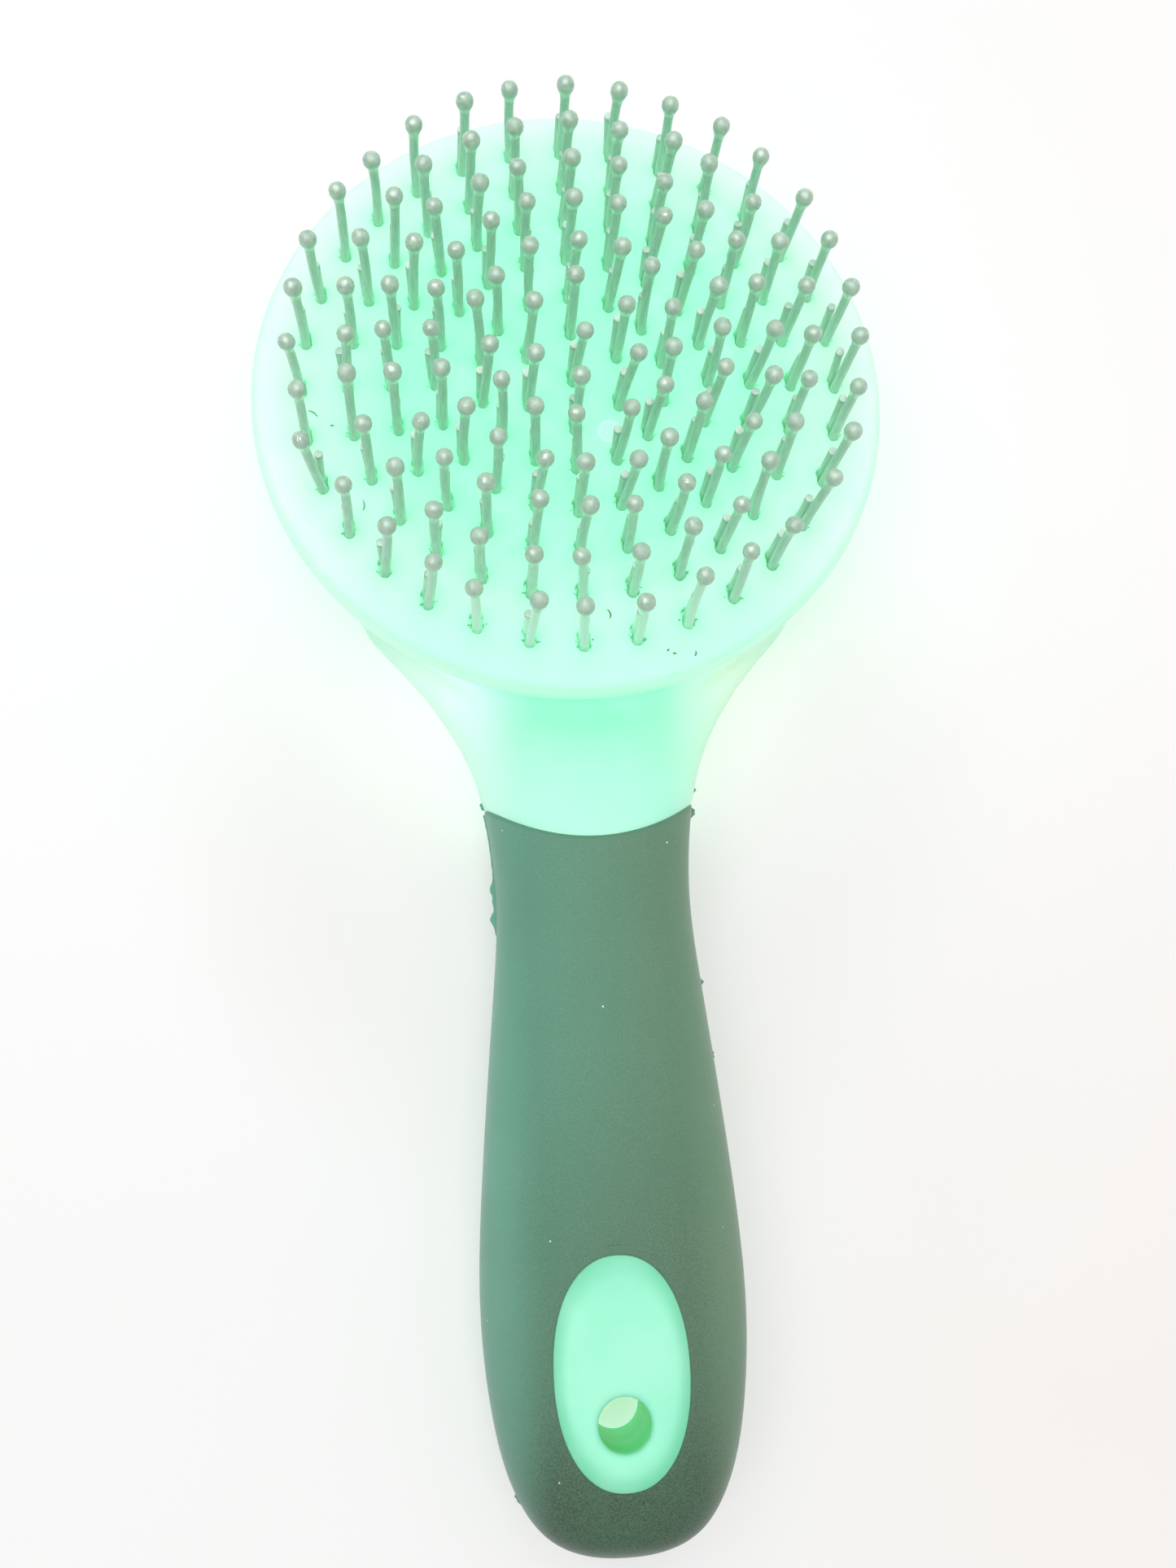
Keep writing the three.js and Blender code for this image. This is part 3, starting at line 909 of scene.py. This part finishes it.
class Look:
    """A node material built up from short calls. Coordinates are millimetres in the row frame."""

    def __init__(self, name):
        self.material = bpy.data.materials.new(name)
        self.material.use_nodes = True
        self.tree = self.material.node_tree
        self.shader = self.tree.nodes["Principled BSDF"]
        self.place = self.scaled(self.node("TexCoord").outputs["Object"], *(1 / MM,) * 3)
        split = self.node("SeparateXYZ", {0: self.place})
        self.x, self.y, self.z = split.outputs

    def node(self, kind, inputs=None, **settings):
        made = self.tree.nodes.new("ShaderNode" + kind)
        for key, value in settings.items():
            setattr(made, key, value)
        for key, value in (inputs or {}).items():
            self.feed(made.inputs[key], value)
        return made

    def feed(self, socket, value):
        if isinstance(value, bpy.types.NodeSocket):
            self.tree.links.new(value, socket)
        else:
            socket.default_value = value

    def math(self, operation, a, b=0.0):
        return self.node("Math", {0: a, 1: b}, operation=operation).outputs[0]

    def times(self, a, b):
        return self.math("MULTIPLY", a, b)

    def span(self, value, low, high, to_low=0.0, to_high=1.0):
        """Goes smoothly from to_low to to_high as value goes from low to high."""
        if low > high:
            low, high, to_low, to_high = high, low, to_high, to_low
        inputs = {"Value": value, "From Min": low, "From Max": high}
        inputs |= {"To Min": to_low, "To Max": to_high}
        return self.node("MapRange", inputs, interpolation_type="SMOOTHSTEP").outputs["Result"]

    def mix(self, factor, a, b):
        made = self.node("Mix", data_type="RGBA")
        for socket, value in zip((made.inputs[0], made.inputs[6], made.inputs[7]), (factor, a, b)):
            self.feed(socket, value)
        return made.outputs[2]

    def scaled(self, vector, *scale):
        return self.node("VectorMath", {0: vector, 1: scale}, operation="MULTIPLY").outputs[0]

    def tint(self, factor, colour):
        """Mixes a colour into the piece's colour so far."""
        self.colour = self.mix(factor, self.colour, colour)

    def noise(self, size, detail, stretch=(1, 1, 1), roughness=0.5):
        """Noise with features of about the given size."""
        at = self.scaled(self.place, *(1 / (size * s) for s in stretch))
        inputs = {"Vector": at, "Scale": 1.0, "Detail": detail, "Roughness": roughness}
        return self.node("TexNoise", inputs).outputs["Fac"]

    def cloud(self, size, detail, low, high, to_low=0.0, to_high=1.0):
        return self.span(self.noise(size, detail), low, high, to_low, to_high)

    def length(self, across, along):
        both = self.node("CombineXYZ", {0: across, 1: along}).outputs[0]
        return self.node("VectorMath", {0: both}, operation="LENGTH").outputs["Value"]

    def plan_distance(self, x, y):
        """Distance from a point, seen from above."""
        return self.length(self.math("SUBTRACT", self.x, x), self.math("SUBTRACT", self.y, y))

    def attribute(self, name):
        return self.node("Attribute", attribute_name=name).outputs["Fac"]

    def bump(self, *layers):
        """Adds bumps, each given as (height socket, depth in millimetres)."""
        normal = None
        for height, depth in layers:
            inputs = {"Height": height, "Distance": depth * MM, "Strength": 1.0}
            if normal is not None:
                inputs["Normal"] = normal
            normal = self.node("Bump", inputs).outputs[0]
        self.feed(self.shader.inputs["Normal"], normal)

    def finish(self, **inputs):
        self.feed(self.shader.inputs["Base Color"], self.colour)
        for key, value in inputs.items():
            self.feed(self.shader.inputs[key.replace("_", " ")], value)
        return self.material


def mint_plastic():
    look = Look("mint_moulded_plastic")
    # Painted light and shade on the neck: a deeper green just under the cushion's lip and under the
    # head, and paler towards both flanks, where light comes through the plastic.
    neck = look.mix(look.span(look.y, 14, -8), srgb(138, 246, 194), srgb(176, 250, 222))
    neck = look.mix(look.span(look.x, -7, -22), neck, srgb(220, 255, 238))
    neck = look.mix(look.span(look.x, 9, 24), neck, srgb(220, 253, 224))
    neck = look.mix(look.span(look.y, 14, 32), neck, srgb(150, 246, 204))
    boss = look.mix(look.span(look.y, -77, -71), srgb(153, 240, 206), srgb(134, 229, 197))
    look.colour = look.mix(look.span(look.y, -18, -40), neck, boss)
    # Painted shade: a darker green band round the rim of the grip's window. Painted light and shade
    # in the hang hole: its wall a deep, bright green, darker on its left side.
    across = look.math("DIVIDE", look.x, WINDOW_HALF_WIDTH)
    along = look.math("DIVIDE", look.math("SUBTRACT", look.y, WINDOW_Y), WINDOW_HALF_LENGTH)
    outward = look.length(across, along)
    edge = look.times(look.span(outward, 0.76, 1.0), look.span(look.y, -40, -50))
    look.tint(look.times(edge, 0.65), srgb(104, 214, 164))
    hole = look.plan_distance(0, HOLE_Y)
    hole = look.span(hole, HOLE_RADIUS + 0.4, HOLE_RADIUS + 0.05)
    wall = look.mix(look.span(look.x, -3, 3.5), srgb(18, 205, 88), srgb(86, 234, 150))
    look.tint(look.times(hole, look.span(look.z, 19.6, 17.4)), wall)
    look.tint(look.cloud(9, 2, 0.35, 0.7, 0.0, 0.16), srgb(205, 255, 240))
    # Painted light: all the plastic is given a faint emission, and the flanks of the neck beside
    # the head, which catch light from below, a stronger one.
    flank = look.span(look.math("ABSOLUTE", look.x), 9, 18)
    flank = look.times(flank, look.span(look.y, -25, -10))
    flank = look.times(flank, look.span(look.plan_distance(0, HEAD_Y), 46, 51))
    look.bump((look.noise(14, 1), 0.05))
    return look.finish(
        Roughness=look.cloud(4, 4, 0.3, 0.7, 0.38, 0.46),
        Subsurface_Weight=0.3,
        Subsurface_Radius=(1.0, 2.2, 1.7),
        Subsurface_Scale=MM,
        Emission_Color=srgb(180, 255, 210),
        Emission_Strength=look.span(flank, 0, 1, 0.05, 0.15),
    )


def cushion_rubber():
    look = Look("mint_cushion_rubber")
    radius = look.plan_distance(0, HEAD_Y)
    # Painted light and shade: a deeper green in the middle among the bristles, paler towards the
    # rim and down its side, where light comes through the thin rubber, and a little less pale along
    # the front edge.
    look.colour = look.mix(look.span(radius, 24, 45), srgb(155, 249, 204), srgb(198, 253, 218))
    look.tint(look.span(radius, 41, 49), srgb(220, 254, 229))
    low_edge = look.times(look.span(radius, 36, 43), look.span(look.y, 38, 16))
    look.tint(look.times(low_edge, 0.85), srgb(182, 250, 217))
    side = look.span(look.z, 16.2, 14.8)
    look.tint(side, srgb(208, 254, 231))
    look.tint(look.cloud(11, 3, 0.4, 0.68, 0.0, 0.35), srgb(196, 255, 228))
    # Painted shade: a deeper green round each bristle's base, where the bristles shade the cushion.
    look.tint(look.times(look.attribute("base_shade"), 0.38), srgb(100, 238, 170))
    # Torn ears in a darker green; the same colour, as painted shade, darkens the wall and edge of
    # each hole.
    torn = look.mix(look.span(look.y, 60, 25), srgb(78, 212, 146), srgb(52, 150, 100))
    look.tint(look.attribute("tear"), torn)
    # The pale round mark where the rubber was let into its mould.
    gate = look.plan_distance(5.3, HEAD_Y - 8.9)
    disc = look.span(gate, 2.0, 1.75)
    rim = look.times(disc, look.span(gate, 1.3, 1.7))
    pale = look.math("ADD", look.times(disc, 0.3), look.times(rim, 0.25))
    look.tint(pale, srgb(214, 255, 240))
    look.bump((look.noise(7, 2), 0.06), (disc, 0.04), (look.noise(0.6, 2), 0.002))
    # Painted light: the whole cushion is given emission, a little stronger low on its side.
    return look.finish(
        Roughness=look.cloud(3, 4, 0.3, 0.7, 0.5, 0.6),
        Subsurface_Weight=0.25,
        Subsurface_Radius=(0.8, 1.8, 1.4),
        Subsurface_Scale=MM,
        Emission_Color=look.mix(side, srgb(160, 255, 206), srgb(190, 255, 222)),
        Emission_Strength=look.span(look.z, 15.2, 13.6, 0.2, 0.24),
    )


def grip_rubber():
    look = Look("dark_green_grip_rubber")
    # Painted light and shade: lighter towards the head and darker towards the handle's end, teal on
    # the left and olive on the right, with a painted sheen along both sides.
    front = look.mix(look.span(look.x, -13, 13), srgb(86, 144, 121), srgb(92, 128, 100))
    back = look.mix(look.span(look.x, -16, 16), srgb(74, 120, 97), srgb(76, 102, 77))
    look.colour = look.mix(look.span(look.y, -35, -85), front, back)
    look.tint(look.span(look.y, -80, -109), srgb(34, 54, 26))
    look.tint(look.span(look.x, -9, -17, 0.0, 0.4), srgb(130, 205, 180))
    look.tint(look.span(look.x, 9, 17, 0.0, 0.35), srgb(140, 178, 142))
    grain = look.noise(0.2, 3, roughness=0.8)
    look.tint(look.span(grain, 0.36, 0.64, 0.0, 0.3), srgb(134, 176, 152))
    look.tint(look.cloud(16, 3, 0.35, 0.7, 0.0, 0.16), srgb(80, 128, 104))
    edge = look.plan_distance(0, HEAD_Y - EDGE_CENTRE)
    line = look.times(look.span(edge, GRIP_EDGE_RADIUS + 0.9, GRIP_EDGE_RADIUS), 0.5)
    look.tint(line, srgb(52, 132, 92))
    # Specks of dust in about one of six cells of 2.2 mm.
    cells = look.scaled(look.place, *(1 / 2.2,) * 3)
    dots = look.node("TexVoronoi", {"Vector": cells, "Scale": 1.0})
    chance = look.node("SeparateColor", {0: dots.outputs["Color"]}).outputs[0]
    chosen = look.math("GREATER_THAN", chance, 0.84)
    dust = look.times(look.span(dots.outputs["Distance"], 0.085, 0.05), chosen)
    look.tint(dust, srgb(225, 240, 230))
    look.bump((look.noise(22, 1), 0.12), (grain, 0.045), (dust, 0.03))
    return look.finish(
        Roughness=look.span(grain, 0.3, 0.7, 0.5, 0.68),
        Specular_IOR_Level=0.35,
        Sheen_Weight=0.3,
        Sheen_Roughness=0.5,
    )


def nylon():
    look = Look("grey_green_nylon")
    streak = look.noise(0.35, 3, stretch=(1, 1, 9))
    shaft = look.mix(look.span(streak, 0.3, 0.7), srgb(164, 202, 181), srgb(182, 216, 198))
    ball = look.mix(look.cloud(0.9, 2, 0.35, 0.7), srgb(170, 200, 180), srgb(190, 213, 195))
    # Painted light: the shafts near the cushion's front edge are paler, lit by the bright cushion
    # rim.
    shaft = look.mix(look.span(look.y, 27, 19, 0.0, 0.8), shaft, srgb(220, 250, 235))
    is_ball, is_cut = look.attribute("ball"), look.attribute("cut")
    look.colour = look.mix(is_ball, shaft, ball)
    look.tint(is_cut, srgb(150, 188, 168))
    look.bump((streak, 0.008), (look.noise(0.16, 2), 0.002))
    return look.finish(
        Roughness=look.span(is_cut, 0, 1, look.span(is_ball, 0, 1, 0.3, 0.06), 0.7),
        Subsurface_Weight=0.15,
        Subsurface_Radius=(0.4, 0.5, 0.4),
        Subsurface_Scale=MM,
    )


def floor_paper():
    look = Look("pale_floor")
    # Painted shade: the floor is a little darker towards the handle's end and the right, and a
    # painted shadow darkens it round the brush's neck.
    upper = look.mix(look.span(look.x, 20, 120), srgb(251, 251, 251), srgb(251, 249, 248))
    lower = look.mix(look.span(look.x, -10, 90), srgb(245, 245, 244), srgb(244, 239, 236))
    look.colour = look.mix(look.span(look.y, 60, -90), upper, lower)
    look.tint(look.span(look.plan_distance(0, 0), 75, 40, 0.0, 0.7), srgb(238, 236, 233))
    look.tint(look.cloud(60, 2, 0.3, 0.7, 0.0, 0.3), srgb(247, 247, 248))
    return look.finish(Roughness=0.7, Specular_IOR_Level=0.2)


# ---- the pieces ----
draw = random.Random(19)
MINT, PAD, GRIP, NYLON = mint_plastic(), cushion_rubber(), grip_rubber(), nylon()

body = make_object("brush_body", *body_mesh(), [MINT])
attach(body, "root")
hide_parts("handle_body")

grip = make_object("rubber_grip", *join([grip_mesh(), *grip_flash(draw)]), [GRIP], sharp_angle=50)
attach(grip, "root")
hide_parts("grip_sleeve")

rim = make_object("cushion_rim", *rim_mesh(), [PAD], sharp_angle=60)
for attribute in ("base_shade", "tear"):
    paint(rim, attribute, np.zeros(len(rim.data.vertices)))
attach(rim, "root")
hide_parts("cushion_pad")

dome_points, dome_faces, base_shade, tear = dome_mesh(draw)
curls_at = len(dome_points)
sheet_faces = len(dome_faces)
dome_points, dome_faces = join([(dome_points, dome_faces), *flash_curls(draw)])
extra = np.zeros(len(dome_points) - curls_at)
slots = np.repeat([0, 1], [sheet_faces, len(dome_faces) - sheet_faces])
dome = make_object("cushion_dome", dome_points, dome_faces, [PAD, GRIP], slots, sharp_angle=60)
paint(dome, "base_shade", np.concatenate([base_shade, extra]))
paint(dome, "tear", np.concatenate([tear, extra]))
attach(dome, "root")
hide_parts("cushion_pad")

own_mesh(dome)

bodies = frame["record"]["behaviour"]["bodies"]
bristles = []
for name, radius, count in RINGS:
    points, faces, ball, cut = ring_mesh(draw, radius, count)
    wires = make_object(f"wires_{name}", points, faces, [NYLON], sharp_angle=50)
    paint(wires, "ball", ball)
    paint(wires, "cut", cut)
    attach(wires, f"bristles_{name}")
    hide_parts(*bodies[f"bristles_{name}"])
    bristles.append(wires)

# ---- floor, light and camera ----
FLOOR_HALF = 4000
corners = ((-1, -1), (1, -1), (1, 1), (-1, 1))
floor_corners = [(FLOOR_HALF * x, FLOOR_HALF * y, 0) for x, y in corners]
make_object("floor", floor_corners, [(0, 1, 2, 3)], [floor_paper()])

scene = bpy.context.scene
world = bpy.data.worlds.new("studio")
scene.world = world
world.use_nodes = True
background = world.node_tree.nodes["Background"]
background.inputs["Color"].default_value = (1.0, 1.0, 1.0, 1.0)
background.inputs["Strength"].default_value = 0.42
scene.view_settings.view_transform = "Standard"


def ceiling_light(name, location, width, length, power):
    """A rectangular lamp that points at the brush. Metres and watts."""
    data = bpy.data.lights.new(name, "AREA")
    data.shape = "RECTANGLE"
    data.size, data.size_y, data.energy = width, length, power
    lamp = bpy.data.objects.new(name, data)
    lamp.location = location
    aim = Vector((0, 0.02, 0.02)) - lamp.location
    lamp.rotation_euler = aim.to_track_quat("-Z", "Y").to_euler()
    scene.collection.objects.link(lamp)
    return lamp


# Four ceiling panels, each in the direction (x, y, z) from the head. A second set of the
# same panels only glints on the nylon balls.
PANELS = [
    (-0.475, 0.296, 0.831), (0.06, 0.24, 0.97), (-0.459, -0.289, 0.838), (0.083, -0.344, 0.934),
]
PANEL_DISTANCE, PANEL_LENGTH = 1.3, 0.68
PANEL_WIDTH, PANEL_POWER = 0.3, 0.9
GLINT_WIDTH, GLINT_POWER = 0.34, 58.0
FILL_SIZE, FILL_POWER = 3.0, 22.0
glossy_pieces = bpy.data.collections.new("glossy_pieces")
for wires in bristles:
    glossy_pieces.objects.link(wires)
for number, towards in enumerate(PANELS, 1):
    place = PANEL_DISTANCE * Vector(towards) + Vector((0, HEAD_Y * MM, 0.03))
    ceiling_light(f"panel_{number}", place, PANEL_WIDTH, PANEL_LENGTH, PANEL_POWER)
    glint = ceiling_light(f"glint_{number}", place, GLINT_WIDTH, PANEL_LENGTH, GLINT_POWER)
    glint.visible_diffuse = False
    glint.light_linking.receiver_collection = glossy_pieces
fill = ceiling_light("fill", (0.0, 0.3, 1.4), FILL_SIZE, FILL_SIZE, FILL_POWER)
fill.data.use_shadow = False
fill.data.cycles.use_multiple_importance_sampling = False

camera_data = bpy.data.cameras.new("camera")
camera_data.lens = 34.0
camera_data.sensor_width = 36.0
camera_data.clip_start = 0.01
camera = bpy.data.objects.new("camera", camera_data)
camera.location = (-0.01891, -0.05281, 0.22904)
camera.rotation_euler = Euler([math.radians(a) for a in (13.127, -4.318, -2.791)], "XYZ")
scene.collection.objects.link(camera)
scene.camera = camera
